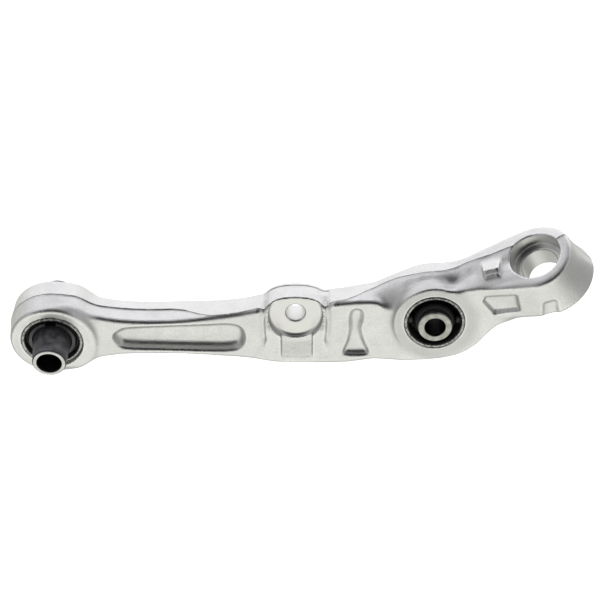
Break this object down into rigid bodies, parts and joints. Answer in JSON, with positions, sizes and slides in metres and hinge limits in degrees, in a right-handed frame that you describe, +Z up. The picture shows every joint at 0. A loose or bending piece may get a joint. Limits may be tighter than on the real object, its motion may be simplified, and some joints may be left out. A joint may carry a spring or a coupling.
{
  "type": "suspension control arm",
  "caption": "Forged aluminium lower control arm with a bonded pivot bush, a shock absorber bush, a stabiliser link tab and an empty ball joint housing.",
  "frame": {"origin": "middle of the pivot bush, on its axis", "axes": "+X along the arm to the ball joint housing, -Y out of the front face, +Z up"},
  "size_m": [0.4227, 0.0804, 0.1143],
  "materials": {
    "forged_aluminium": "shot blasted forging with machined seats",
    "ring_steel": "oiled dark steel",
    "rubber": "moulded, satin",
    "shell_steel": "dark phosphate",
    "phosphated_steel": "mottled dark phosphate",
    "plated_steel": "dull zinc plate"
  },
  "bodies": {
    "pivot_sleeve": {"pivot_inner_sleeve": "phosphated_steel", "pivot_rubber_inner": "rubber"},
    "pivot_shells": {"pivot_interleaf_left": "shell_steel", "pivot_interleaf_right": "shell_steel"},
    "arm": {"arm_forging": "forged_aluminium", "pivot_outer_sleeve": "ring_steel", "pivot_rubber_outer": "rubber", "shock_outer_sleeve": "ring_steel", "shock_rubber": "rubber"},
    "shock_sleeve": {"shock_inner_sleeve": "plated_steel"}
  },
  "joints": [
    {"name": "arm_swing", "type": "hinge", "parent": "pivot_sleeve", "child": "arm", "pos_m": [0, 0, 0], "axis": [0, -0.9903, -0.1392], "range_deg": [-15, 15], "stiffness_Nm_per_rad": 90},
    {"name": "shell_follow", "type": "hinge", "parent": "pivot_sleeve", "child": "pivot_shells", "pos_m": [0, 0, 0], "axis": [0, -0.9903, -0.1392], "range_deg": [-8, 8]},
    {"name": "shock_eye_turn", "type": "hinge", "parent": "arm", "child": "shock_sleeve", "pos_m": [0.2794, 0, 0.0179], "axis": [0, -1, 0], "range_deg": [-15, 15], "stiffness_Nm_per_rad": 40}
  ],
  "couplings": [
    {"joint": "shell_follow", "follows": "arm_swing", "ratio": 0.5}
  ]
}
